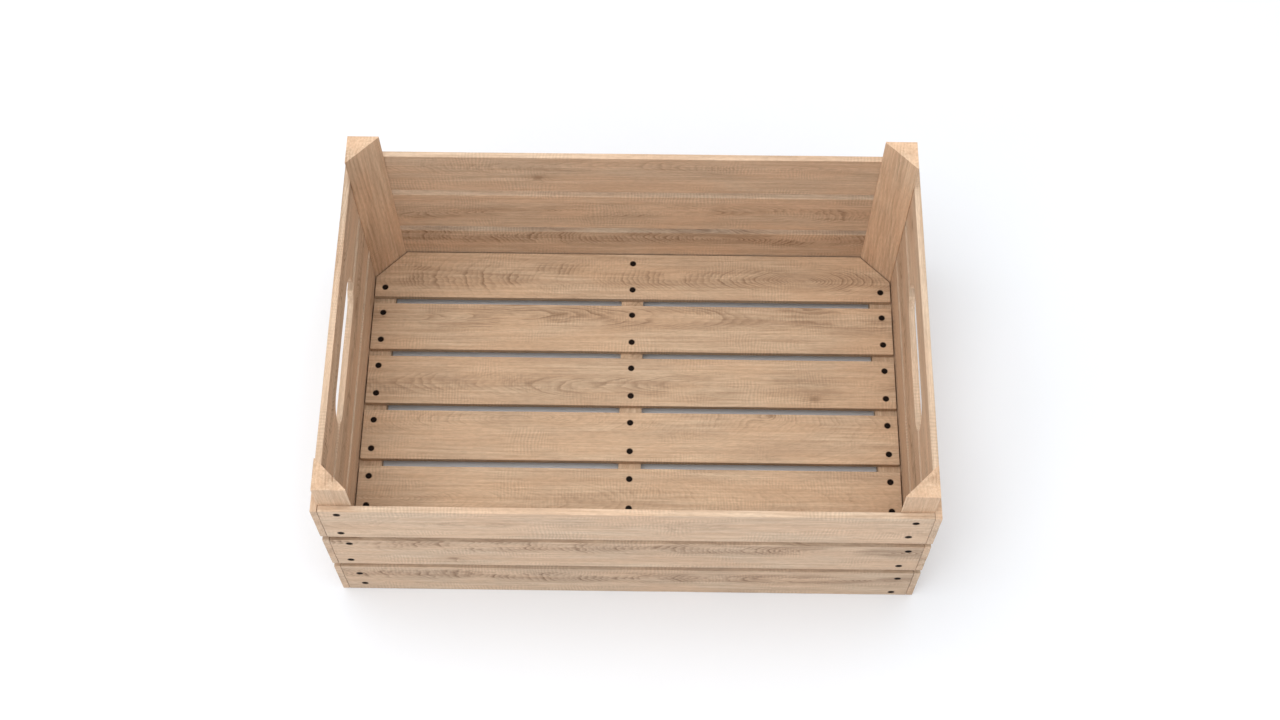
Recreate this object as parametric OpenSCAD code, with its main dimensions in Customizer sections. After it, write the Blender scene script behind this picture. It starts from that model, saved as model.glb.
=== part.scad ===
// Nailed wooden apple crate: three slats on each side, triangular corner posts that stand above the rim,
// and a floor of boards on battens.
// Millimetres, +Z up. The origin is at the middle of the underside, and +X runs along the crate.

/* [Crate] */
// Outside length, over the end slats
crate_length = 590; // [480:5:600]
// Outside width, over the long slats
crate_width = 400; // [300:5:400]
// Thickness of every slat and floor board
board_thickness = 6.5; // [5:0.5:8]

/* [Walls] */
// Height of one slat
slat_height = 65; // [50:1:75]
// Open gap between one slat and the next
slat_gap = 9; // [4:1:16]

/* [Hand-holes] */
// Overall length of the hand-hole in each end wall
hand_hole_length = 161; // [110:1:180]
// Height of the hand-hole, which is also the diameter of its round ends
hand_hole_height = 45; // [30:1:50]
// Distance from the rim of the walls down to the middle of the hand-hole
hand_hole_drop = 61; // [45:1:64]

/* [Corner posts] */
// Leg of the triangular section, along each wall
post_leg = 32; // [30:1:44]
// Flat on each thin edge of the triangle
post_edge_flat = 1; // [0.5:0.5:5]
// Height of the posts above the rim
post_rise = 37; // [10:1:60]

/* [Floor] */
// Number of floor boards, side by side
floor_board_count = 6; // [4:1:8]
// Open gap between two floor boards
floor_gap = 8; // [4:1:12]
// Width of each batten under the floor boards
batten_width = 24; // [24:1:40]
// Height of the battens
batten_height = 12; // [11:1:20]
// Play between the floor and the walls and posts
floor_play = 1; // [0.5:0.5:3]

/* [Nails] */
// Diameter of a nail head
nail_head_diameter = 6; // [4:0.5:8]
// Thickness of a nail head
nail_head_thickness = 1; // [0.8:0.1:1.5]
// Depth of a driven head below the face of the wood
nail_sink = 0.3; // [0.1:0.1:0.8]
// Diameter of a nail shank
nail_shank_diameter = 2; // [1.4:0.1:2.4]
// Length of a nail under its head
nail_shank_length = 14.5; // [12:0.5:15]
// Length of the point at the end of that
nail_point_length = 2.5; // [1:0.5:4]
// Lower nail at the left end of the bottom, middle and top slat, in from the corner of the crate
left_inset_low = [24.5, 20, 21]; // [20:0.5:26]
// Upper nail at the left end of the bottom, middle and top slat, in from the corner of the crate
left_inset_high = [23, 25, 24]; // [20:0.5:26]
// Lower nail at the right end of the bottom, middle and top slat, in from the corner of the crate
right_inset_low = [22.5, 24.5, 25.5]; // [20:0.5:26]
// Upper nail at the right end of the bottom, middle and top slat, in from the corner of the crate
right_inset_high = [21, 20.5, 23]; // [20:0.5:26]
// Lower nail at the left end of the bottom, middle and top slat, above the slat's lower edge
left_nail_low = [16, 11, 10]; // [8:1:22]
// Upper nail at the left end of the bottom, middle and top slat, below the slat's upper edge
left_nail_high = [20, 9, 8]; // [8:1:22]
// Lower nail at the right end of the bottom, middle and top slat, above the slat's lower edge
right_nail_low = [8, 12, 18]; // [8:1:22]
// Upper nail at the right end of the bottom, middle and top slat, below the slat's upper edge
right_nail_high = [16, 12, 12]; // [8:1:22]
// Distance of a floor board's nails from its long edges
floor_nail_edge = 12; // [8:1:16]
// Number of nails through each bottom end slat into its batten
batten_nail_count = 4; // [2:1:5]

/* [Hidden] */
$fn = 48;
// Distance by which a cutting shape runs past the face that it opens
overcut = 1;

slat_colour = "#D0B69C";
post_colour = "#DCC09A";
floor_colour = "#C9AE88";
nail_colour = "#4A4038";

// Walls in order of quarter turns about +Z, from the one that faces -Y
WALLS = ["front", "right", "back", "left"];
FRONT = 0;
RIGHT = 1;
BACK = 2;
LEFT = 3;
// Rows of slats from the bottom up
ROWS = ["bottom", "middle", "top"];
BOTTOM_ROW = 0;
TOP_ROW = 2;

SLATS = [for (wall = WALLS) [for (row = ROWS) str(wall, "_slat_", row)]];
WALL_NAILS = [for (wall = WALLS) str(wall, "_nails")];
POSTS = ["post_front_left", "post_front_right", "post_back_left", "post_back_right"];
BATTENS = ["batten_left", "batten_middle", "batten_right"];
FLOOR_BOARDS = [for (board = [1 : floor_board_count]) str("floor_board_", board)];

inner_length = crate_length - 2 * board_thickness;
inner_width = crate_width - 2 * board_thickness;
wall_height = 3 * slat_height + 2 * slat_gap;
post_height = wall_height + post_rise;

// Section of a post, from its right-angled corner, which fills the corner of the walls
post_outline = [
    [0, 0],
    [post_leg, 0],
    [post_leg, post_edge_flat],
    [post_edge_flat, post_leg],
    [0, post_leg],
];

// Half the floor's length and width
floor_x = inner_length / 2 - floor_play;
floor_y = inner_width / 2 - floor_play;
// Distance of the floor's clipped corners from the middle, along X plus along Y
post_line = (inner_length + inner_width) / 2 - post_leg - post_edge_flat - floor_play * sqrt(2);
floor_width = (2 * floor_y - (floor_board_count - 1) * floor_gap) / floor_board_count;
floor_top = batten_height + board_thickness;
all_boards = [0 : floor_board_count - 1];
all_battens = [0 : 2];

// A wall at the short ends of the crate, whose slats overlap the ends of the long ones
function is_end(wall) = wall == RIGHT || wall == LEFT;
// Length of a wall over the corners of the crate
function wall_span(wall) = is_end(wall) ? crate_width : crate_length;
// Distance of a wall's outer face from the middle of the crate
function wall_reach(wall) = (is_end(wall) ? crate_length : crate_width) / 2;
function slat_length(wall) = is_end(wall) ? crate_width : inner_length;
// Height of a slat's lower edge
function slat_foot(row) = row * (slat_height + slat_gap);

// Nails of one slat, each as its place along the wall and its height
function slat_nails(wall, row) =
    let (corner = wall_span(wall) / 2)
    let (foot = slat_foot(row))
    let (head = foot + slat_height)
    [
        [left_inset_low[row] - corner, foot + left_nail_low[row]],
        [left_inset_high[row] - corner, head - left_nail_high[row]],
        [corner - right_inset_low[row], foot + right_nail_low[row]],
        [corner - right_inset_high[row], head - right_nail_high[row]],
    ];

// The outer battens lie between the posts, and the middle one runs from wall to wall
function batten_length(batten) = batten == 1 ? 2 * floor_y : inner_width - 2 * (post_leg + floor_play);
function batten_middle(batten) = (batten - 1) * (inner_length - batten_width) / 2;

// Middle of a floor board across the crate
function board_middle(board) = (board + 0.5) * (floor_width + floor_gap) - floor_y - floor_gap / 2;

// Nails through the given floor boards into the given battens, except where a batten is too short
function floor_nail_places(boards, battens) = [
    for (board = boards)
        for (batten = battens)
            for (side = [-1, 1])
                let (y = board_middle(board) + side * (floor_width / 2 - floor_nail_edge))
                if (abs(y) < batten_length(batten) / 2 - nail_head_diameter)
                    [batten_middle(batten), y]
];

// Stands its children on the outer face of a wall: X along the wall, Y into the crate
module on_wall(wall) {
    rotate([0, 0, 90 * wall])
        translate([0, -wall_reach(wall), 0])
            children();
}

// Stands its children at a point of a wall's face, with +Z into the wood
module into_wall(place) {
    translate([place.x, 0, place.y])
        rotate([-90, 0, 0])
            children();
}

module at_slat_nails(wall, row) {
    on_wall(wall)
        for (place = slat_nails(wall, row))
            into_wall(place)
                children();
}

module at_batten_nails(wall) {
    spacing = batten_length(0) / batten_nail_count;
    on_wall(wall)
        for (i = [0 : batten_nail_count - 1])
            into_wall([(i + 0.5) * spacing - batten_length(0) / 2, batten_height / 2])
                children();
}

module at_floor_nails(boards, battens) {
    for (place = floor_nail_places(boards, battens))
        translate([place.x, place.y, floor_top])
            rotate([180, 0, 0])
                children();
}

// Flat-headed nail, with its head sunk below the face at Z 0
module nail() {
    translate([0, 0, nail_sink]) {
        cylinder(h = nail_head_thickness, d = nail_head_diameter);
        cylinder(h = nail_head_thickness + nail_shank_length - nail_point_length, d = nail_shank_diameter);
        translate([0, 0, nail_head_thickness + nail_shank_length - nail_point_length])
            cylinder(h = nail_point_length, d1 = nail_shank_diameter, d2 = 0);
    }
}

// Room that a driven nail takes in the wood
module nail_hole() {
    head_depth = nail_sink + nail_head_thickness;
    translate([0, 0, -overcut])
        cylinder(h = overcut + head_depth, d = nail_head_diameter);
    cylinder(h = head_depth + nail_shank_length, d = nail_shank_diameter);
}

// Slot with round ends, through an end wall
module hand_hole(wall) {
    straight = hand_hole_length - hand_hole_height;
    depth = board_thickness + 2 * overcut;
    on_wall(wall)
        translate([0, -overcut, wall_height - hand_hole_drop]) {
            translate([-straight / 2, 0, -hand_hole_height / 2])
                cube([straight, depth, hand_hole_height]);
            for (side = [-1, 1])
                translate([side * straight / 2, 0, 0])
                    rotate([-90, 0, 0])
                        cylinder(h = depth, d = hand_hole_height);
        }
}

module slat(wall, row) {
    color(slat_colour)
        difference() {
            on_wall(wall)
                translate([-slat_length(wall) / 2, 0, slat_foot(row)])
                    cube([slat_length(wall), board_thickness, slat_height]);
            at_slat_nails(wall, row)
                nail_hole();
            if (is_end(wall) && row > BOTTOM_ROW)
                hand_hole(wall);
            if (is_end(wall) && row == BOTTOM_ROW)
                at_batten_nails(wall)
                    nail_hole();
        }
}

// Corners count along X first, from the front left
module post(corner) {
    side_x = corner % 2 == 0 ? -1 : 1;
    side_y = corner < 2 ? -1 : 1;
    outline = [
        for (point = post_outline)
            [side_x * (inner_length / 2 - point.x), side_y * (inner_width / 2 - point.y)]
    ];
    color(post_colour)
        difference() {
            linear_extrude(post_height)
                polygon(outline);
            for (wall = [side_y < 0 ? FRONT : BACK, side_x < 0 ? LEFT : RIGHT])
                for (row = [BOTTOM_ROW : TOP_ROW])
                    at_slat_nails(wall, row)
                        nail_hole();
        }
}

module floor_board(board) {
    color(floor_colour)
        difference() {
            translate([0, 0, batten_height])
                linear_extrude(board_thickness)
                    intersection() {
                        translate([-floor_x, board_middle(board) - floor_width / 2])
                            square([2 * floor_x, floor_width]);
                        rotate(45)
                            square(post_line * sqrt(2), center = true);
                    }
            at_floor_nails([board], all_battens)
                nail_hole();
        }
}

module batten(batten) {
    color(floor_colour)
        difference() {
            translate([batten_middle(batten) - batten_width / 2, -batten_length(batten) / 2, 0])
                cube([batten_width, batten_length(batten), batten_height]);
            at_floor_nails(all_boards, [batten])
                nail_hole();
            if (batten != 1)
                at_batten_nails(batten == 0 ? LEFT : RIGHT)
                    nail_hole();
        }
}

module wall_nails(wall) {
    color(nail_colour) {
        for (row = [BOTTOM_ROW : TOP_ROW])
            at_slat_nails(wall, row)
                nail();
        if (is_end(wall))
            at_batten_nails(wall)
                nail();
    }
}

module floor_nails() {
    color(nail_colour)
        at_floor_nails(all_boards, all_battens)
            nail();
}

for (wall = [FRONT : LEFT])
    for (row = [BOTTOM_ROW : TOP_ROW])
        slat(wall, row);
for (corner = [0 : 3])
    post(corner);
for (i = all_battens)
    batten(i);
for (board = all_boards)
    floor_board(board);
for (wall = [FRONT : LEFT])
    wall_nails(wall);
floor_nails();
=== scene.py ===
"""Looks of the nailed wooden apple crate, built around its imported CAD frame. Metres, +Z up.

Every board, post and batten is remade as worn sawn wood over its CAD node, and every nail as a driven
nail. The wood's growth rings run through the whole piece, so faces, edges and end grain show one pattern.
"""

import math
import random

import bpy
import numpy as np
from mathutils import Matrix, Vector, noise
from mathutils.geometry import convex_hull_2d, delaunay_2d_cdt


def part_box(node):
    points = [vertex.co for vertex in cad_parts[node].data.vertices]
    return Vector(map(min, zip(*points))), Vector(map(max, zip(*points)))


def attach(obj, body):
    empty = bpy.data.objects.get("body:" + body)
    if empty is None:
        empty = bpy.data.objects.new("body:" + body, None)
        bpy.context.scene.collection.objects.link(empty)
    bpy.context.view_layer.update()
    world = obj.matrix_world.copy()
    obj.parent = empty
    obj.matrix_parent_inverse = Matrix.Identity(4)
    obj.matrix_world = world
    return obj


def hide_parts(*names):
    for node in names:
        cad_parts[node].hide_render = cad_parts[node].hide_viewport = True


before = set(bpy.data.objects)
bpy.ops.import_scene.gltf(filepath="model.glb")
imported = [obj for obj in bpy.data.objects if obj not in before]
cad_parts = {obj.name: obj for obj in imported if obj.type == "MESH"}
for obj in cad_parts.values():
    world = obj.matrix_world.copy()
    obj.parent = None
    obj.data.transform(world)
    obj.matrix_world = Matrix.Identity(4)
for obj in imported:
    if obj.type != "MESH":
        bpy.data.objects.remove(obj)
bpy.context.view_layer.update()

MM = 0.001
# Blender's vector noise starts from the clock, unless it is given a seed. This one is the clock's second at
# which a render of the scene started.
NOISE_SEED = 1794843588
X, Y, Z = Vector((1, 0, 0)), Vector((0, 1, 0)), Vector((0, 0, 1))

# Each wall's directions, as seen from outside: along it, up it and out of it
WALL_AXES = {
    "front": (X, Z, -Y),
    "right": (Y, Z, X),
    "back": (-X, Z, Y),
    "left": (-Y, Z, -X),
}
FLOOR_AXES = (X, Y, Z)
POST_AXES = (X, Y, Z)
BATTEN_AXES = (Z, X, Y)

# Hand-hole: half its straight part, the radius of its round ends, and its middle's height
HAND_HOLE_STRAIGHT = 58 * MM
HAND_HOLE_RADIUS = 22.5 * MM
HAND_HOLE_HEIGHT = 152 * MM

# How finely the wood is meshed: boards, and the posts and battens, which are called bars here
BOARD_STEP = 6 * MM
BAR_STEP = 5 * MM
# Rounding of the faces' edges, and of the outlines' corners where they turn enough
EDGE_RADIUS = 0.45 * MM
EDGE_SEGMENTS = 3
BOARD_CORNER_RADIUS = (0.6 * MM, 1.5 * MM)
BAR_CORNER_RADIUS = (0.4 * MM, 0.6 * MM)
CORNER_SEGMENTS = 4
LEAST_CORNER = math.radians(25)
# Corners of an outline lie in line if their sides span less than this area, in square metres
IN_LINE = 1e-9
# Sawn surface: its waves along and across the grain, and how deep they are
WAVE_LENGTH = (70 * MM, 26 * MM, 26 * MM)
WAVE_DEPTH = 0.16 * MM
# Boards' long edges run slightly out of true, by up to this much at each end
TAPER = 0.35 * MM
# Boards whose half is over this length are cut a little short at each end
LONG_HALF = 250 * MM
SHORT_CUT = 0.25 * MM
# Edge wear: spacing of the worn stretches, and the extra radius there
WEAR_SPACING = 22 * MM
WEAR_RADIUS = 0.45 * MM
# Tone against the faces: boards' long edges, with painted shade in the gaps and worn lighter on the rim,
# and the bars' ends, with painted light as if lit from overhead
GAP_PAINTED_SHADE = -0.16
RIM_TONE = 0.04
# Painted light: the bars' ends are made lighter, so the post tops look lit by the lamp overhead
BAR_END_PAINTED_LIGHT = 0.1

# Nail: head, shank and point, and the head's recess in the wood with the stain and dent round it
HEAD_RADIUS = 2.95 * MM
HEAD_THICKNESS = 1.0 * MM
HEAD_SINK = 0.3 * MM
HEAD_DOME = 0.15 * MM
HEAD_LIP = 0.25 * MM
SHANK_RADIUS = 1.0 * MM
SHANK_LENGTH = 14.5 * MM
POINT_LENGTH = 2.5 * MM
RECESS_RADIUS = 3.15 * MM
RECESS_DEPTH = 1.35 * MM
STAIN_RADIUS = 4.0 * MM
DENT_RADIUS = 6.0 * MM
DENT_DEPTH = 0.12 * MM
RECESS_SIDES = 20

# In millimetres: the pith's wandering along a piece, how far apart two pieces' grain may start, and how
# deep the darker end grain reaches
PITH_WANDER_LENGTH = 170
PITH_WANDER = 9
GRAIN_SPREAD = 900
END_GRAIN = 1.5
# How the pieces that the photo shows best were cut: the pith's place across and through the piece at its
# middle, its slant along it, how plainly the rings show, the tone, and a small knot's place along and across
SEEN_GRAIN = {
    "front_slat_top": dict(side=4, deep=-60, slant=-0.03, figure=0.25, tone=0.985, knot=(400, 0)),
    "front_slat_middle": dict(side=20, deep=-40, slant=-0.19, figure=1.1, tone=0.945, knot=(-172, -14)),
    "front_slat_bottom": dict(side=13, deep=-36, slant=-0.17, figure=1.1, tone=0.91, knot=(400, 0)),
    "post_back_left": dict(side=-12, deep=140, slant=0.02, figure=0.8, tone=1.08, knot=(400, 0)),
    # Painted light: the back right post's tone is higher than the left one's, as its inner faces are lit
    # from the front left
    "post_back_right": dict(side=4, deep=140, slant=0.02, figure=0.4, tone=1.15, knot=(400, 0)),
}


# ---------------------------------------------------------------- outlines


def node_points(node, axes):
    """The CAD node's mesh points, measured along three directions."""
    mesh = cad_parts[node].data
    points = np.empty(len(mesh.vertices) * 3)
    mesh.vertices.foreach_get("co", points)
    return points.reshape(-1, 3) @ np.array([tuple(axis) for axis in axes]).T


def distinct(points, digits):
    """The different flat places among points, rounded to that many digits of a metre, in order."""
    places = {(round(float(p[0]), digits), round(float(p[1]), digits)) for p in points}
    return [Vector(place) for place in sorted(places)]


def convex_outline(points):
    """Corners of the convex outline of points, anticlockwise, without those along a straight side."""
    flat = distinct(points, 6)
    hull = [flat[i] for i in convex_hull_2d(flat)]
    corners = []
    for before, here, after in zip(hull[-1:] + hull[:-1], hull, hull[1:] + hull[:1]):
        if abs((here - before).cross(after - here)) > IN_LINE:
            corners.append(here)
    return anticlockwise(corners)


def anticlockwise(points):
    """The same closed outline, turned round if it runs clockwise."""
    area = sum(a.cross(b) for a, b in zip(points, points[1:] + points[:1]))
    return points if area > 0 else points[::-1]


def arc(centre, radius, start, end, steps=14):
    """Points on an arc, with its angles in degrees."""
    angles = [math.radians(start + (end - start) * i / steps) for i in range(steps + 1)]
    return [centre + radius * Vector((math.cos(a), math.sin(a))) for a in angles]


def hand_hole_edge(edge, middle):
    """The part of the hand-hole that cuts a slat's long edge, in the order that the outline runs there."""
    above = middle > edge and edge > 0
    lean = math.degrees(math.asin((edge - middle) / HAND_HOLE_RADIUS))
    near = Vector((-HAND_HOLE_STRAIGHT, middle))
    far = Vector((HAND_HOLE_STRAIGHT, middle))
    if above:
        return arc(far, HAND_HOLE_RADIUS, lean, -90) + arc(near, HAND_HOLE_RADIUS, -90, -180 - lean)
    return arc(near, HAND_HOLE_RADIUS, 180 - lean, 90) + arc(far, HAND_HOLE_RADIUS, 90, lean)


def slat_outline(node, outline, centre):
    """A slat's outline about its centre, with the hand-hole cut from the two end slats that it crosses."""
    wall, _, row = node.split("_")
    if wall in ("front", "back") or row == "bottom":
        return outline
    half_length = max(p.x for p in outline)
    half_height = max(p.y for p in outline)
    middle = HAND_HOLE_HEIGHT - centre.z
    corners = [Vector((a, b)) for a, b in ((-1, -1), (1, -1), (1, 1), (-1, 1))]
    corners = [Vector((c.x * half_length, c.y * half_height)) for c in corners]
    if row == "top":
        return corners[:1] + hand_hole_edge(-half_height, middle) + corners[1:]
    return corners[:3] + hand_hole_edge(half_height, middle) + corners[3:]


def fillet(points, radii, rng):
    """Rounds each corner of a closed anticlockwise outline. Returns points, and how far each may move in."""
    most_of_side = 0.4
    out, room = [], []
    for before, here, after in zip(points[-1:] + points[:-1], points, points[1:] + points[:1]):
        back, ahead = before - here, after - here
        turn = math.pi - back.angle(ahead)
        radius = rng.uniform(*radii)
        if turn < LEAST_CORNER:
            out.append(here)
            room.append(radius)
            continue
        tangent = min(radius * math.tan(turn / 2), most_of_side * back.length, most_of_side * ahead.length)
        own_radius = tangent / math.tan(turn / 2)
        inwards = (back.normalized() + ahead.normalized()).normalized()
        middle = here + inwards * own_radius / math.cos(turn / 2)
        start = (here + back.normalized() * tangent) - middle
        for i in range(CORNER_SEGMENTS + 1):
            out.append(middle + Matrix.Rotation(turn * i / CORNER_SEGMENTS, 2) @ start)
            room.append(own_radius)
    return out, room


def circle(centre, radius):
    """Points round a circle, as many as a recess has sides."""
    return arc(centre, radius, 0, 360 * (1 - 1 / RECESS_SIDES), RECESS_SIDES - 1)


def subdivide(points, room, step):
    """Adds points along the long sides. A point's room grows with its distance from a tight corner."""
    out, spare = [], []
    for here, after, own, next_own in zip(points, points[1:] + points[:1], room, room[1:] + room[:1]):
        count = max(1, math.ceil((after - here).length / step))
        for i in range(count):
            out.append(here.lerp(after, i / count))
            spare.append(own if i == 0 else max(own, next_own))
    flat = np.array([tuple(p) for p in out])
    distance = np.linalg.norm(flat[:, None] - flat[None], axis=2)
    return out, (np.array(spare)[None] + 0.5 * distance).min(axis=1)


def inward_normals(points):
    """Each point's way into a closed anticlockwise outline, long enough to keep the sides parallel."""
    sharpest = 0.4
    normals = []
    for before, here, after in zip(points[-1:] + points[:-1], points, points[1:] + points[:1]):
        sides = [(b - a).normalized() for a, b in ((before, here), (here, after))]
        first, second = (Vector((-side.y, side.x)) for side in sides)
        middle = (first + second).normalized()
        normals.append(middle / max(sharpest, middle.dot(first)))
    return normals


def inside(points, loop):
    """Which of the points lie in the closed loop, by counting the sides crossed on the way out."""
    result = np.zeros(len(points), bool)
    for a, b in zip(loop, loop[1:] + loop[:1]):
        crosses = (a.y > points[:, 1]) != (b.y > points[:, 1])
        if a.y != b.y:
            at = a.x + (points[:, 1] - a.y) * (b.x - a.x) / (b.y - a.y)
            result ^= crosses & (points[:, 0] < at)
    return result


def grid_points(loop, step, rng):
    """Scattered points that fill a loop, kept off its edge."""
    scatter = 0.15
    low = Vector((min(p.x for p in loop), min(p.y for p in loop)))
    high = Vector((max(p.x for p in loop), max(p.y for p in loop)))
    counts = [max(1, round((high[k] - low[k]) / step)) for k in range(2)]
    points = []
    for cell in np.ndindex(*counts):
        spot = [cell[k] + 0.5 + rng.uniform(-scatter, scatter) for k in range(2)]
        points.append([low[k] + (high[k] - low[k]) * spot[k] / counts[k] for k in range(2)])
    points = np.array(points)
    points = points[inside(points, loop)]
    edge = np.array([tuple(p) for p in loop])
    distance = np.linalg.norm(points[:, None] - edge[None], axis=2).min(axis=1)
    return [Vector(p) for p in points[distance > 0.5 * step]]


# ---------------------------------------------------------------- wood meshes


class Wood:
    """One wooden piece: an outline, cut through a depth, in the piece's own directions.

    A point is its place in the outline's two directions and through the depth, from the piece's middle.
    Beside each point, edge tells whether it lies on a rounded edge.
    """

    def __init__(self, node, axes, outline, place, step, nails=()):
        self.node, self.axes, self.step = node, axes, step
        self.centre, self.half = place
        self.nails = list(nails)
        self.rng = random.Random(node)
        self.shift = Vector([self.rng.uniform(-5, 5) for _ in range(3)])
        self.board = "slat" in node or "floor" in node
        self.taper = [[self.rng.uniform(0, TAPER) for _ in range(2)] for _ in range(2)]
        radii = BOARD_CORNER_RADIUS if self.board else BAR_CORNER_RADIUS
        self.loop, self.room = subdivide(*fillet(outline, radii, self.rng), step)
        self.normals = inward_normals(self.loop)
        self.points = []
        self.edge = []
        self.faces = []

    def add(self, flat, depth, edge=0.0):
        """Adds a point, and returns its number."""
        self.points.append(Vector((flat[0], flat[1], depth)))
        self.edge.append(edge)
        return len(self.points) - 1

    def worn_radius(self, flat, depth):
        """Rounding of the edge at a point: more where it has been knocked."""
        place = Vector((flat.x, flat.y, depth)) / WEAR_SPACING + self.shift
        return EDGE_RADIUS + WEAR_RADIUS * max(0.0, noise.noise(place)) ** 1.5 * 2

    def rim(self, side):
        """Rows of the rounded edge at the outer (1) or inner (-1) face, from the face outwards."""
        rows = []
        for segment in range(EDGE_SEGMENTS + 1):
            angle = math.radians(90 * segment / EDGE_SEGMENTS)
            rounded = float(0 < segment < EDGE_SEGMENTS)
            row = []
            for flat, normal, room in zip(self.loop, self.normals, self.room):
                radius = min(0.8 * room, self.worn_radius(flat, side * self.half[2]))
                depth = self.half[2] - radius * (1 - math.cos(angle))
                moved = flat + normal * radius * (1 - math.sin(angle))
                row.append(self.add(moved, side * depth, rounded))
            rows.append(row)
        return rows

    def walls(self):
        """Both rounded edges and the sides between them. Returns the loops that bound the two faces."""
        outer, inner = self.rim(1), self.rim(-1)
        reach = self.half[2] - EDGE_RADIUS - WEAR_RADIUS
        count = max(2, round(2 * reach / self.step))
        between = []
        for i in range(1, count):
            between.append([self.add(flat, reach * (1 - 2 * i / count)) for flat in self.loop])
        rows = outer + between + inner[::-1]
        for upper, lower in zip(rows, rows[1:]):
            for i in range(len(upper)):
                j = (i + 1) % len(upper)
                self.faces.append((upper[i], lower[i], lower[j], upper[j]))
        return outer[0], inner[0]

    def fill(self, loop, side, holes=()):
        """Covers a face, inside its loop and outside its holes, with rings of points round each hole."""
        flat_loop = [self.points[i].xy for i in loop]
        ids = list(loop)
        edges = [(i, (i + 1) % len(loop)) for i in range(len(loop))]
        for hole in holes:
            start = len(ids)
            ids += hole
            edges += [(start + i, start + (i + 1) % len(hole)) for i in range(len(hole))]
        free = grid_points(flat_loop, self.step, self.rng)
        nails = self.nails if holes else ()
        for centre in nails:
            free = [p for p in free if (p - centre).length > DENT_RADIUS + MM]
            for radius in (STAIN_RADIUS, DENT_RADIUS):
                free += circle(centre, radius)
        ids += [self.add(p, side * self.half[2]) for p in free]
        flat = [self.points[i].xy for i in ids]
        inside_only, nearest = 1, 1e-9
        _, _, triangles, origins, _, _ = delaunay_2d_cdt(flat, edges, [], inside_only, nearest)
        for triangle in triangles:
            corners = [ids[origins[i][0]] for i in triangle]
            middle = sum((self.points[i].xy for i in corners), Vector((0, 0))) / 3
            if any((middle - centre).length < RECESS_RADIUS * 0.97 for centre in nails):
                continue
            self.faces.append(tuple(corners if side > 0 else corners[::-1]))

    def recess(self, centre):
        """The round socket that a nail's head has pressed. Returns the loop of its mouth."""
        mouth, foot = [], []
        for flat in circle(centre, RECESS_RADIUS):
            mouth.append(self.add(flat, self.half[2]))
            foot.append(self.add(flat, self.half[2] - RECESS_DEPTH))
        middle = self.add(centre, self.half[2] - RECESS_DEPTH)
        for i in range(RECESS_SIDES):
            j = (i + 1) % RECESS_SIDES
            self.faces.append((mouth[i], mouth[j], foot[j], foot[i]))
            self.faces.append((foot[i], foot[j], middle))
        return mouth

    def grain_frame(self):
        """Along the grain, across it and through it, in the piece's own directions."""
        return (X, Y, Z) if self.board else (Z, Y, X)

    def weathered(self, point):
        """A point moved by sawing waves, a board's taper and the nails' dents, but kept in the CAD box."""
        out = point.copy()
        stretched = [point.dot(d) / length for d, length in zip(self.grain_frame(), WAVE_LENGTH)]
        out += noise.noise_vector(Vector(stretched) + self.shift) * WAVE_DEPTH
        if self.board:
            left, right = self.taper[point.y > 0]
            way = (point.x / self.half[0] + 1) / 2
            inset = left * (1 - way) + right * way
            out.y -= math.copysign(inset * abs(point.y / self.half[1]) ** 4, point.y)
            if self.half[0] > LONG_HALF:
                out.x *= 1 - SHORT_CUT / self.half[0]
        if point.z > self.half[2] - MM:
            for centre in self.nails:
                near = 1 - (point.xy - centre).length / DENT_RADIUS
                out.z -= DENT_DEPTH * max(0.0, near) ** 1.5
        return Vector([min(h, max(-h, value)) for h, value in zip(self.half, out)])

    def stain_at(self, point):
        """How far the nail's iron has stained the wood at a point, from 0 to 1."""
        if point.z < self.half[2] - RECESS_DEPTH - MM / 2 or not self.nails:
            return 0.0
        nearest = min((point.xy - centre).length for centre in self.nails)
        return min(1.0, max(0.0, 1 - (nearest - RECESS_RADIUS) / (STAIN_RADIUS - RECESS_RADIUS)))

    def edge_tone(self, point):
        """How much lighter or darker than its faces a board's long edge or a bar's end is. The gaps' edges
        get painted shade, the top slats' upper edge is worn lighter, and the bars' ends get painted light.
        """
        if not self.board:
            # Painted light: a bar's ends, the post tops among them, are lighter, as if lit from overhead
            return BAR_END_PAINTED_LIGHT if abs(point.z) > self.half[2] - EDGE_RADIUS / 2 else 0.0
        if abs(point.y) < self.half[1] - EDGE_RADIUS / 2:
            return 0.0
        # Painted shade: every long edge of a board but the top slats' upper one is darkened, as if shaded in
        # the gaps
        return RIM_TONE if self.node.endswith("top") and point.y > 0 else GAP_PAINTED_SHADE

    def grain_marks(self, grain):
        """Each point's place in the wood, in millimetres, and what has happened to it there."""
        directions = self.grain_frame()
        reach = max(abs(p.dot(directions[0])) for p in self.points)
        start = Vector([self.rng.uniform(0, GRAIN_SPREAD) for _ in range(3)])
        marks = {"grain": [], "rings": [], "knot": [], "marks": []}
        for point, edge in zip(self.points, self.edge):
            along, across, through = (point.dot(direction) / MM for direction in directions)
            drift = noise.noise_vector(Vector((along / PITH_WANDER_LENGTH, 0, 0)) + self.shift)
            drift *= PITH_WANDER
            side = across - grain["side"] + drift.x
            deep = through - grain["deep"] + grain["slant"] * along + drift.y
            end = min(1.0, max(0.0, abs(along) - reach / MM + END_GRAIN)) if self.board else 0.0
            marks["grain"] += (Vector((along, across, through)) + start)[:]
            marks["rings"] += (side, deep, grain["figure"])
            marks["knot"] += (along - grain["knot"][0], across - grain["knot"][1], through)
            marks["marks"] += (end, edge, self.stain_at(point))
        return marks

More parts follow.
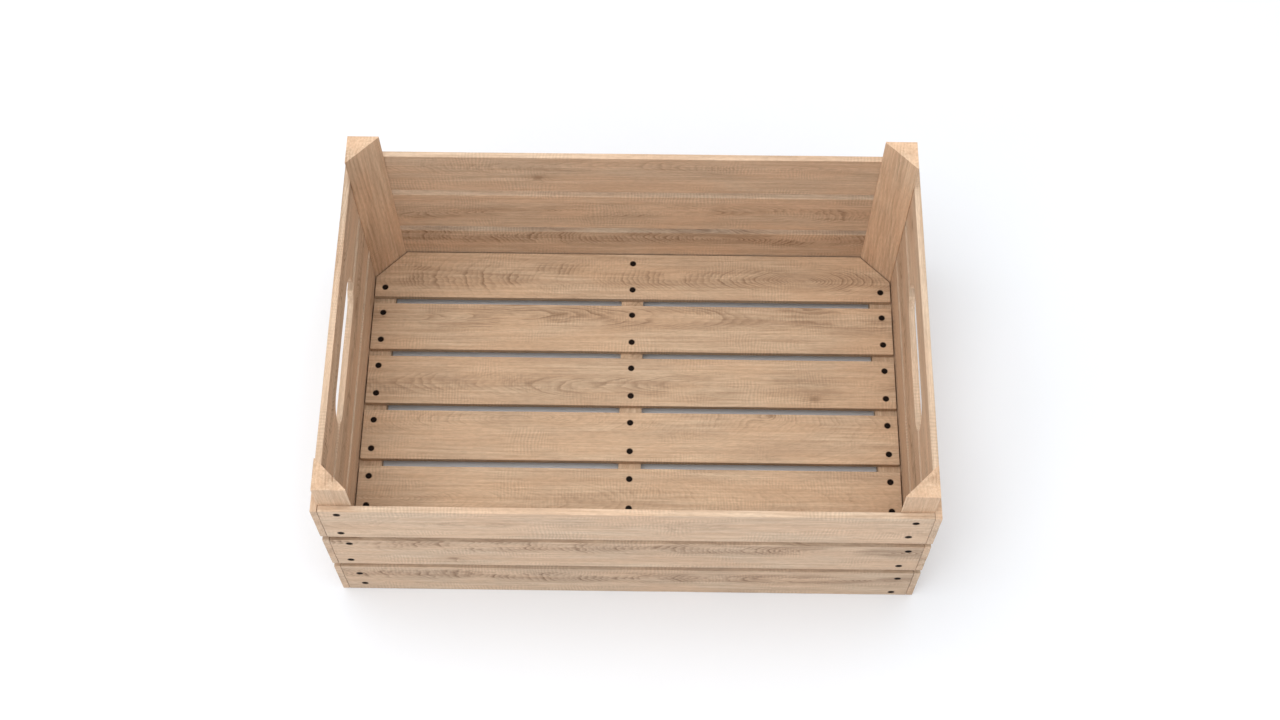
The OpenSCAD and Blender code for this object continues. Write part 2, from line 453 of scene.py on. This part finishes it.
    def build(self, material, grain):
        """Makes the piece's mesh, with its grain stored on its points."""
        outer, inner = self.walls()
        self.fill(outer, 1, [self.recess(centre) for centre in self.nails])
        self.fill(inner, -1)
        turn = Matrix([tuple(axis) for axis in self.axes]).transposed()
        mesh = bpy.data.meshes.new(self.node + "_wood")
        mesh.from_pydata([self.centre + turn @ self.weathered(p) for p in self.points], [], self.faces)
        mesh.shade_smooth()
        mesh.materials.append(material)
        for name, values in self.grain_marks(grain).items():
            mesh.attributes.new(name, "FLOAT_VECTOR", "POINT").data.foreach_set("vector", values)
        # Each point's tone, with the painted shade in the boards' gaps and the painted light on the bars'
        # ends and the back right post
        tones = [grain["tone"] + self.edge_tone(point) for point in self.points]
        mesh.attributes.new("tone", "FLOAT", "POINT").data.foreach_set("value", tones)
        piece = bpy.data.objects.new(self.node + "_wood", mesh)
        bpy.context.scene.collection.objects.link(piece)
        piece.modifiers.new("even_shading", "WEIGHTED_NORMAL").keep_sharp = True
        return piece


def place_of(node, axes):
    """A CAD node's middle, and half its size in each of three directions."""
    low, high = (Vector(corner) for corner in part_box(node))
    half = [abs((high - low).dot(axis)) / 2 for axis in axes]
    return (low + high) / 2, half


def wood_piece(node, axes, step, nails, material):
    """Remakes one wooden CAD node, with the recesses of those nails that go into it."""
    centre, half = place = place_of(node, axes)
    local = node_points(node, axes) - np.array([centre.dot(axis) for axis in axes])
    outline = convex_outline(local)
    if "slat" in node:
        outline = slat_outline(node, outline, centre)
    middle = Vector((centre.dot(axes[0]), centre.dot(axes[1])))
    own = [p - middle for p in nails]
    own = [p for p in own if abs(p.x) < half[0] and abs(p.y) < half[1]]
    piece = Wood(node, axes, outline, place, step, own).build(material, grain_of(node))
    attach(piece, "root")
    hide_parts(node)


# ---------------------------------------------------------------- nails


def nail_places(node, axes):
    """Where a CAD node's nails go into their wall or floor, found by the points at their tips."""
    points = node_points(node, axes)
    near_tip = 0.05 * MM
    return distinct(points[points[:, 2] < points[:, 2].min() + near_tip], 5)


def nail_profile():
    """Radius and depth below the wood's face, from the domed head to near the point."""
    under = HEAD_SINK + HEAD_THICKNESS
    foot = under + SHANK_LENGTH - POINT_LENGTH
    dome = [(HEAD_RADIUS * share, HEAD_SINK - HEAD_DOME * (1 - share * share)) for share in (0.3, 0.6, 0.85)]
    rim = [
        (HEAD_RADIUS - HEAD_LIP / 3, HEAD_SINK + HEAD_LIP / 4),
        (HEAD_RADIUS, HEAD_SINK + HEAD_LIP),
        (HEAD_RADIUS, under - HEAD_LIP),
        (HEAD_RADIUS - HEAD_LIP, under),
    ]
    shank = [(SHANK_RADIUS * 1.2, under), (SHANK_RADIUS, under + HEAD_LIP), (SHANK_RADIUS, foot)]
    return dome + rim + shank + [(SHANK_RADIUS * 0.5, foot + POINT_LENGTH * 0.6)]


def nails_piece(node, axes, face, material):
    """All the nails of one CAD node, turned from one profile, with their heads under that face."""
    points, faces = [], []
    profile = nail_profile()
    for flat in nail_places(node, axes):
        start = len(points)
        foot = axes[0] * flat.x + axes[1] * flat.y + axes[2] * face
        points.append(foot - axes[2] * (HEAD_SINK - HEAD_DOME))
        for radius, depth in profile:
            for i in range(RECESS_SIDES):
                angle = 2 * math.pi * i / RECESS_SIDES
                side = axes[0] * math.cos(angle) + axes[1] * math.sin(angle)
                points.append(foot + side * radius - axes[2] * depth)
        points.append(foot - axes[2] * (HEAD_SINK + HEAD_THICKNESS + SHANK_LENGTH))
        rings = np.arange(len(profile) * RECESS_SIDES).reshape(-1, RECESS_SIDES) + start + 1
        rings = rings.tolist()
        for i in range(RECESS_SIDES):
            j = (i + 1) % RECESS_SIDES
            faces.append((start, rings[0][i], rings[0][j]))
            faces.append((rings[-1][j], rings[-1][i], len(points) - 1))
            for upper, lower in zip(rings, rings[1:]):
                faces.append((upper[i], lower[i], lower[j], upper[j]))
    mesh = bpy.data.meshes.new(node + "_steel")
    mesh.from_pydata(points, [], faces)
    mesh.shade_smooth()
    mesh.set_sharp_from_angle(angle=math.radians(50))
    mesh.materials.append(material)
    piece = bpy.data.objects.new(node + "_steel", mesh)
    bpy.context.scene.collection.objects.link(piece)
    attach(piece, "root")
    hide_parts(node)


# ---------------------------------------------------------------- materials


class Nodes:
    """Short calls that add a material's nodes and link them. A value is a number, a tuple or a socket."""

    def __init__(self, name):
        self.material = bpy.data.materials.new(name)
        self.material.use_nodes = True
        self.tree = self.material.node_tree
        self.shader = self.tree.nodes["Principled BSDF"]

    def add(self, kind, inputs, output=0, **settings):
        """Adds a node with those inputs and settings, and returns one of its outputs."""
        node = self.tree.nodes.new(kind)
        for name, value in settings.items():
            setattr(node, name, value)
        for key, value in inputs.items():
            self.feed(node.inputs[key], value)
        return node.outputs[output]

    def feed(self, socket, value):
        """Links a socket to an input, or sets the input's own value."""
        if isinstance(value, bpy.types.NodeSocket):
            self.tree.links.new(value, socket)
        else:
            socket.default_value = value

    def attribute(self, name, output):
        return self.add("ShaderNodeAttribute", {}, output, attribute_name=name)

    def math(self, operation, a, b=0.0, clamp=False):
        return self.add("ShaderNodeMath", {0: a, 1: b}, operation=operation, use_clamp=clamp)

    def vector(self, operation, a, b):
        return self.add("ShaderNodeVectorMath", {0: a, 1: b}, operation=operation)

    def noise(self, place, size, detail=2.0, roughness=0.5):
        """Noise from 0 to 1, whose features have that size along, across and through the place's grain."""
        vector = self.vector("DIVIDE", place, size)
        inputs = {"Vector": vector, "Scale": 1.0, "Detail": detail, "Roughness": roughness}
        return self.add("ShaderNodeTexNoise", inputs)

    def ramp(self, value, low, high, to_low=0.0, to_high=1.0, smooth=True):
        """Maps low to high onto to_low to to_high, and holds the ends."""
        return self.add(
            "ShaderNodeMapRange",
            {"Value": value, "From Min": low, "From Max": high, "To Min": to_low, "To Max": to_high},
            interpolation_type="SMOOTHSTEP" if smooth else "LINEAR",
        )

    def mix(self, factor, a, b, blend="MIX"):
        """Mixes two colours, whose sockets on the node are numbers 6 and 7."""
        inputs = {0: factor, 6: a, 7: b}
        return self.add("ShaderNodeMix", inputs, 2, data_type="RGBA", blend_type=blend)

    def split(self, vector):
        """The three parts of a vector."""
        node = self.tree.nodes.new("ShaderNodeSeparateXYZ")
        self.feed(node.inputs[0], vector)
        return node.outputs

    def bump(self, height, distance, strength):
        inputs = {"Height": height, "Distance": distance, "Strength": strength}
        return self.add("ShaderNodeBump", inputs)


def srgb(red, green, blue):
    """A display colour, each part from 0 to 255, as the shader's linear values."""
    shares = [part / 255 for part in (red, green, blue)]
    linear = [share / 12.92 if share <= 0.04045 else ((share + 0.055) / 1.055) ** 2.4 for share in shares]
    return (*linear, 1.0)


DARK_PORE = srgb(58, 44, 34)


# In the wood's materials, sizes and distances are in millimetres: along the grain, across it and through it


def around_knot(n):
    """How much a small knot disturbs the wood, from 0 to 1."""
    distance = n.vector("DIVIDE", n.attribute("knot", "Vector"), (15.0, 8.0, 30.0))
    distance = n.add("ShaderNodeVectorMath", {0: distance}, "Value", operation="LENGTH")
    return n.math("EXPONENT", n.math("MULTIPLY", n.math("MULTIPLY", distance, distance), -1.0))


def growth_rings(n, place, side, deep, ring_gap):
    """The number of the ring at a point, with its fraction. Rings are uneven, wavy and a little ragged."""
    distance = n.math("SQRT", n.math("ADD", n.math("MULTIPLY", side, side), n.math("MULTIPLY", deep, deep)))
    broad = n.math("MULTIPLY", n.noise(place, (40.0, 12.0, 12.0)), 4.0)
    ragged = n.math("MULTIPLY", n.noise(place, (6.0, 3.0, 3.0)), 0.7)
    growth = n.add("ShaderNodeCombineXYZ", {0: distance})
    growth = n.math("MULTIPLY", n.noise(growth, (9.0, 9.0, 9.0), 1.0), 3.0)
    distance = n.math("ADD", n.math("ADD", distance, growth), n.math("ADD", broad, ragged))
    return n.math("DIVIDE", distance, ring_gap)


def ring_lines(n, rings):
    """The dark side of each ring, which fades out across it. Some rings are stronger than others."""
    phase = n.math("FRACT", rings)
    line = n.math("MULTIPLY", n.math("POWER", n.math("SUBTRACT", 1.0, phase), 1.4), n.ramp(phase, 0.0, 0.25))
    strength = n.add("ShaderNodeTexWhiteNoise", {"W": n.math("FLOOR", rings)}, noise_dimensions="1D")
    return n.math("MULTIPLY", line, n.ramp(strength, 0.0, 1.0, 0.4, 1.15))


def ring_contrast(n, place, side, figure, knot):
    """How plainly the rings show: in patches over the pith, and round a knot."""
    over_pith = n.ramp(n.math("ABSOLUTE", side), 7.0, 19.0, 1.0, 0.12)
    patchy = n.ramp(n.noise(place, (70.0, 18.0, 18.0)), 0.4, 0.58, 0.1, 1.0)
    showing = n.math("MULTIPLY", figure, n.math("MULTIPLY", over_pith, patchy))
    return n.math("ADD", showing, n.math("MULTIPLY", knot, 0.6))


def saw_ripples(n, place):
    """The saw's marks across the grain, from -1 to 1, which come in patches."""
    along = n.math("ADD", n.split(place)[0], n.math("MULTIPLY", n.noise(place, (30.0, 40.0, 40.0)), 12.0))
    along = n.math("ADD", along, n.math("MULTIPLY", n.noise(place, (5.0, 7.0, 7.0)), 2.5))
    ripple = n.math("SINE", n.math("MULTIPLY", along, 1.8))
    return n.math("MULTIPLY", ripple, n.ramp(n.noise(place, (60.0, 24.0, 24.0)), 0.46, 0.66))


def sawn_oak(name, pale, streak, flame, warm, ring_gap=1.35):
    """Light sawn oak. Its rings stand round a slanting pith, and its pores and streaks follow the grain."""
    n = Nodes(name)
    place = n.attribute("grain", "Vector")
    side, deep, figure = n.split(n.attribute("rings", "Vector"))
    end, edge, stain = n.split(n.attribute("marks", "Vector"))

    knot = around_knot(n)
    bulging = n.math("ADD", deep, n.math("MULTIPLY", knot, 6.0))
    showing = ring_contrast(n, place, side, figure, knot)
    ring = ring_lines(n, growth_rings(n, place, side, bulging, ring_gap))
    ring = n.math("MULTIPLY", ring, n.math("ADD", 0.14, showing), clamp=True)

    fine = n.noise(place, (50.0, 0.8, 0.8), 3.0, 0.6)
    middling = n.noise(place, (90.0, 2.6, 2.6), 2.0)
    wide = n.noise(place, (230.0, 8.0, 8.0), 2.0)
    blotch = n.noise(place, (110.0, 30.0, 30.0), 2.0)
    flecks = n.noise(place, (7.0, 1.8, 1.8), 2.0)
    pores = n.ramp(n.noise(place, (5.5, 0.3, 0.3), 1.0), 0.6, 0.72)
    pores = n.math("MULTIPLY", pores, n.math("ADD", 0.3, ring), clamp=True)
    ripple = saw_ripples(n, place)

    colour = n.mix(n.ramp(fine, 0.3, 0.72, 0.0, 0.7), pale, streak)
    colour = n.mix(n.ramp(middling, 0.4, 0.66, 0.0, 0.75), colour, streak)
    colour = n.mix(n.ramp(wide, 0.42, 0.7, 0.0, 0.6), colour, streak)
    colour = n.mix(n.ramp(blotch, 0.35, 0.65, 0.0, 0.7), colour, n.mix(0.5, colour, warm))
    colour = n.mix(n.math("MULTIPLY", showing, 0.22, clamp=True), colour, flame)
    colour = n.mix(n.math("MULTIPLY", ring, 0.95, clamp=True), colour, flame)
    colour = n.mix(n.ramp(knot, 0.75, 1.0, 0.0, 0.5), colour, flame)
    colour = n.mix(n.math("MULTIPLY", pores, 0.5), colour, n.mix(0.3, flame, DARK_PORE))
    colour = n.mix(n.math("MULTIPLY", stain, 0.85), colour, DARK_PORE)

    # The tone attribute carries painted shade in the boards' gaps and painted light on the bars' ends and
    # the back right post
    light = n.math("ADD", n.attribute("tone", "Fac"), n.math("MULTIPLY", ripple, 0.08))
    light = n.math("ADD", light, n.ramp(flecks, 0.3, 0.7, -0.06, 0.06))
    worn = n.math("MULTIPLY", edge, n.ramp(blotch, 0.4, 0.6, -0.08, 0.06))
    dirt = n.math("MULTIPLY", end, n.math("ADD", 0.03, n.math("MULTIPLY", edge, 0.1)))
    light = n.math("ADD", light, n.math("SUBTRACT", worn, dirt))
    shade = n.add("ShaderNodeCombineXYZ", {0: light, 1: light, 2: light})
    n.feed(n.shader.inputs["Base Color"], n.mix(1.0, colour, shade, "MULTIPLY"))

    rough = n.math("ADD", n.ramp(fine, 0.3, 0.7, 0.6, 0.74), n.math("MULTIPLY", pores, 0.2))
    n.feed(n.shader.inputs["Roughness"], n.math("SUBTRACT", rough, n.math("MULTIPLY", edge, 0.12)))
    n.shader.inputs["Specular IOR Level"].default_value = 0.3

    relief = n.math("SUBTRACT", n.math("MULTIPLY", fine, 0.5), n.math("MULTIPLY", pores, 0.9))
    relief = n.math("SUBTRACT", relief, n.math("MULTIPLY", ring, 0.3))
    relief = n.math("ADD", relief, n.math("MULTIPLY", ripple, 0.2))
    n.feed(n.shader.inputs["Normal"], n.bump(relief, 0.25 * MM, 0.7))
    return n.material


def dark_steel():
    """Blackened wire nail, with a hammered and slightly rusty head."""
    n = Nodes("dark_nail_steel")
    place = n.add("ShaderNodeTexCoord", {}, "Object")
    fine = n.noise(place, (0.9 * MM,) * 3, 3.0)
    patches = n.noise(place, (2.4 * MM,) * 3, 2.0)
    rust = n.ramp(patches, 0.5, 0.68)
    colour = n.mix(n.ramp(fine, 0.3, 0.7), srgb(19, 15, 13), srgb(35, 28, 24))
    colour = n.mix(n.math("MULTIPLY", rust, 0.5), colour, srgb(50, 31, 22))
    n.feed(n.shader.inputs["Base Color"], colour)
    n.shader.inputs["Specular IOR Level"].default_value = 0.04
    n.feed(n.shader.inputs["Roughness"], n.ramp(fine, 0.3, 0.7, 0.6, 0.85))
    n.feed(n.shader.inputs["Normal"], n.bump(fine, 0.2 * MM, 0.6))
    return n.material


def pale_floor():
    """Plain matt floor, slightly blue, so that it comes out white beside the warm wood."""
    n = Nodes("pale_floor")
    n.shader.inputs["Base Color"].default_value = (0.875, 0.89, 0.915, 1.0)
    n.shader.inputs["Roughness"].default_value = 0.85
    n.shader.inputs["Specular IOR Level"].default_value = 0.1
    return n.material


# ---------------------------------------------------------------- studio


def make_camera():
    """Looks down on the front of the crate, from almost straight ahead."""
    target = Vector((0.0104, 0.0062, 0.125))
    distance = 1.826
    heading, pitch, roll = (math.radians(a) for a in (-0.993, 63.38, -0.227))
    forward = Vector((
        math.sin(heading) * math.cos(pitch),
        math.cos(heading) * math.cos(pitch),
        -math.sin(pitch),
    ))
    right = Vector((math.cos(heading), -math.sin(heading), 0))
    up = right.cross(forward)
    right, up = (
        right * math.cos(roll) + up * math.sin(roll),
        up * math.cos(roll) - right * math.sin(roll),
    )
    data = bpy.data.cameras.new("camera")
    data.lens = 50
    data.sensor_width = 36
    data.clip_end = 100
    camera = bpy.data.objects.new("camera", data)
    turn = Matrix((right, up, -forward)).transposed().to_4x4()
    camera.matrix_world = Matrix.Translation(target - forward * distance) @ turn
    bpy.context.scene.collection.objects.link(camera)
    bpy.context.scene.camera = camera


def area_light(name, place, size, power):
    """A round lamp that faces the crate."""
    data = bpy.data.lights.new(name, "AREA")
    data.shape = "DISK"
    data.size = size
    data.energy = power
    light = bpy.data.objects.new(name, data)
    light.location = place
    towards_crate = Vector((0, 0, 0.1)) - Vector(place)
    light.rotation_euler = towards_crate.to_track_quat("-Z", "Y").to_euler()
    bpy.context.scene.collection.objects.link(light)


def make_studio():
    """An even white sky, with soft lamps overhead."""
    world = bpy.data.worlds.new("studio")
    world.use_nodes = True
    background = world.node_tree.nodes["Background"]
    background.inputs["Color"].default_value = (0.975, 0.988, 1.0, 1.0)
    background.inputs["Strength"].default_value = 0.9
    bpy.context.scene.world = world
    area_light("overhead", place=(-0.6, -0.25, 3.2), size=3.0, power=42)
    area_light("fill", place=(-1.8, -2.2, 2.0), size=1.6, power=9)
    bpy.context.scene.view_settings.view_transform = "Standard"


def make_floor():
    """A round floor that curves up into a low wall far away, so that no edge shows at a low angle."""
    reach, bend, wall_top = 20.0, 4.0, 6.0
    profile = [Vector((reach / 2, 0))] + arc(Vector((reach, bend)), bend, -90, 0)
    profile.append(Vector((reach + bend, wall_top)))
    sides = 96
    angles = [2 * math.pi * i / sides for i in range(sides)]
    points = [(p.x * math.cos(a), p.x * math.sin(a), p.y) for p in profile for a in angles]
    faces = [tuple(range(sides))]
    for ring in range(len(profile) - 1):
        for i in range(sides):
            j = (i + 1) % sides
            lower, upper = ring * sides, (ring + 1) * sides
            faces.append((lower + i, upper + i, upper + j, lower + j))
    mesh = bpy.data.meshes.new("floor")
    mesh.from_pydata(points, [], faces)
    mesh.shade_smooth()
    mesh.materials.append(pale_floor())
    floor = bpy.data.objects.new("floor", mesh)
    bpy.context.scene.collection.objects.link(floor)


# ---------------------------------------------------------------- the crate


def grain_of(node):
    """How a piece was cut from its log, in millimetres: as seen in the photo, or else by chance."""
    rng = random.Random("grain " + node)
    by_chance = dict(
        side=rng.uniform(-22, 22),
        deep=rng.choice((-1, 1)) * rng.uniform(15, 50),
        slant=rng.choice((-1, 1)) * rng.uniform(0.05, 0.24),
        figure=rng.choice((0.3, 0.6, 0.9)),
        tone=rng.uniform(0.94, 1.03),
        knot=(rng.uniform(-260, 260), rng.uniform(-60, 60)),
    )
    if "post" in node:
        by_chance.update(
            side=rng.uniform(-12, 12),
            deep=rng.choice((-1, 1)) * 140,
            slant=0.02,
            figure=1.2,
        )
    return SEEN_GRAIN.get(node, by_chance)


def build_crate():
    """Remakes every node of the crate: the walls, the floor, the battens and the posts, with their nails."""
    slat_oak = sawn_oak("slat_oak", srgb(224, 199, 172), srgb(192, 164, 138), srgb(130, 98, 72),
                        srgb(226, 186, 152))
    post_oak = sawn_oak("post_oak", srgb(219, 192, 163), srgb(189, 158, 130), srgb(144, 111, 84),
                        srgb(220, 178, 143), ring_gap=3.2)
    floor_oak = sawn_oak("floor_oak", srgb(218, 192, 162), srgb(186, 156, 128), srgb(136, 106, 80),
                         srgb(218, 180, 144))
    steel = dark_steel()

    for wall, axes in WALL_AXES.items():
        nails = nail_places(wall + "_nails", axes)
        for row in ("bottom", "middle", "top"):
            wood_piece(f"{wall}_slat_{row}", axes, BOARD_STEP, nails, slat_oak)
        centre, half = place_of(f"{wall}_slat_bottom", axes)
        nails_piece(wall + "_nails", axes, centre.dot(axes[2]) + half[2], steel)

    floor_nails = nail_places("floor_nails", FLOOR_AXES)
    for node in sorted(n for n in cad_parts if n.startswith("floor_board")):
        wood_piece(node, FLOOR_AXES, BOARD_STEP, floor_nails, floor_oak)
    centre, half = place_of("floor_board_1", FLOOR_AXES)
    nails_piece("floor_nails", FLOOR_AXES, centre.z + half[2], steel)

    for node in sorted(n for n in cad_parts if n.startswith("batten")):
        wood_piece(node, BATTEN_AXES, BAR_STEP, (), floor_oak)
    for node in sorted(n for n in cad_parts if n.startswith("post")):
        wood_piece(node, POST_AXES, BAR_STEP, (), post_oak)


noise.seed_set(NOISE_SEED)
make_camera()
make_studio()
make_floor()
build_crate()
